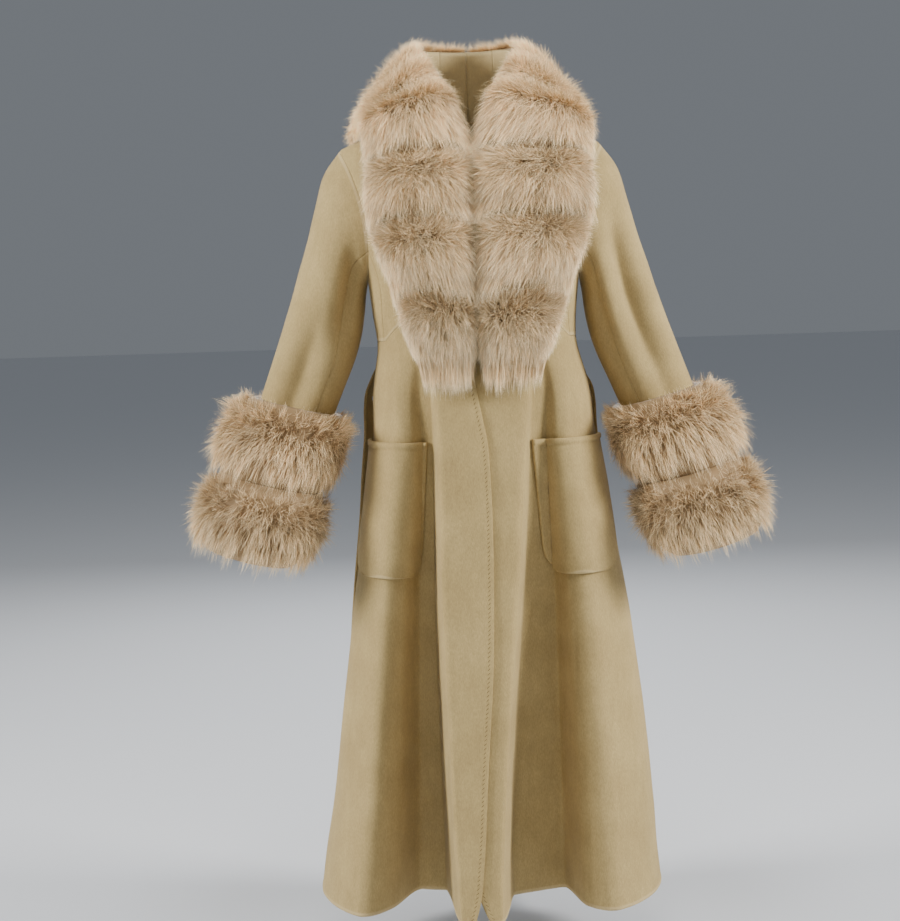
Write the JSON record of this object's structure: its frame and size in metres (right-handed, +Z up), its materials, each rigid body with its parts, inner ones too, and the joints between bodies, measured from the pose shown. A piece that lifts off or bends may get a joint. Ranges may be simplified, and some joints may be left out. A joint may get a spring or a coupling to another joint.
{
  "type": "wool coat",
  "caption": "Long belted wool coat with a banded fur shawl collar, fur cuffs and patch pockets, hollow and in the pose of a worn coat.",
  "frame": {"origin": "middle of the neck opening, level with the inner ends of the shoulder seams", "axes": "+Z up along the wearer's back, -Y the way the wearer faces, +X to the wearer's left"},
  "size_m": [0.904, 0.4138, 1.3202],
  "materials": {
    "wool": "matt double-faced wool",
    "fur": "long soft fur"
  },
  "bodies": {
    "root": {"bodice_front_right": "wool", "bodice_side_right": "wool", "skirt_front_right": "wool", "sleeve_top_right": "wool", "sleeve_under_right": "wool", "pocket_right": "wool", "belt_loop_right": "wool", "bodice_front_left": "wool", "bodice_side_left": "wool", "skirt_front_left": "wool", "sleeve_top_left": "wool", "sleeve_under_left": "wool", "pocket_left": "wool", "belt_loop_left": "wool", "bodice_back": "wool", "skirt_back": "wool", "belt": "wool", "cuff_upper_right": "fur", "cuff_lower_right": "fur", "collar_1_right": "fur", "collar_2_right": "fur", "collar_3_right": "fur", "collar_4_right": "fur", "collar_5_right": "fur", "collar_6_right": "fur", "collar_7_right": "fur", "collar_8_right": "fur", "cuff_upper_left": "fur", "cuff_lower_left": "fur", "collar_1_left": "fur", "collar_2_left": "fur", "collar_3_left": "fur", "collar_4_left": "fur", "collar_5_left": "fur", "collar_6_left": "fur", "collar_7_left": "fur", "collar_8_left": "fur"}
  },
  "joints": []
}
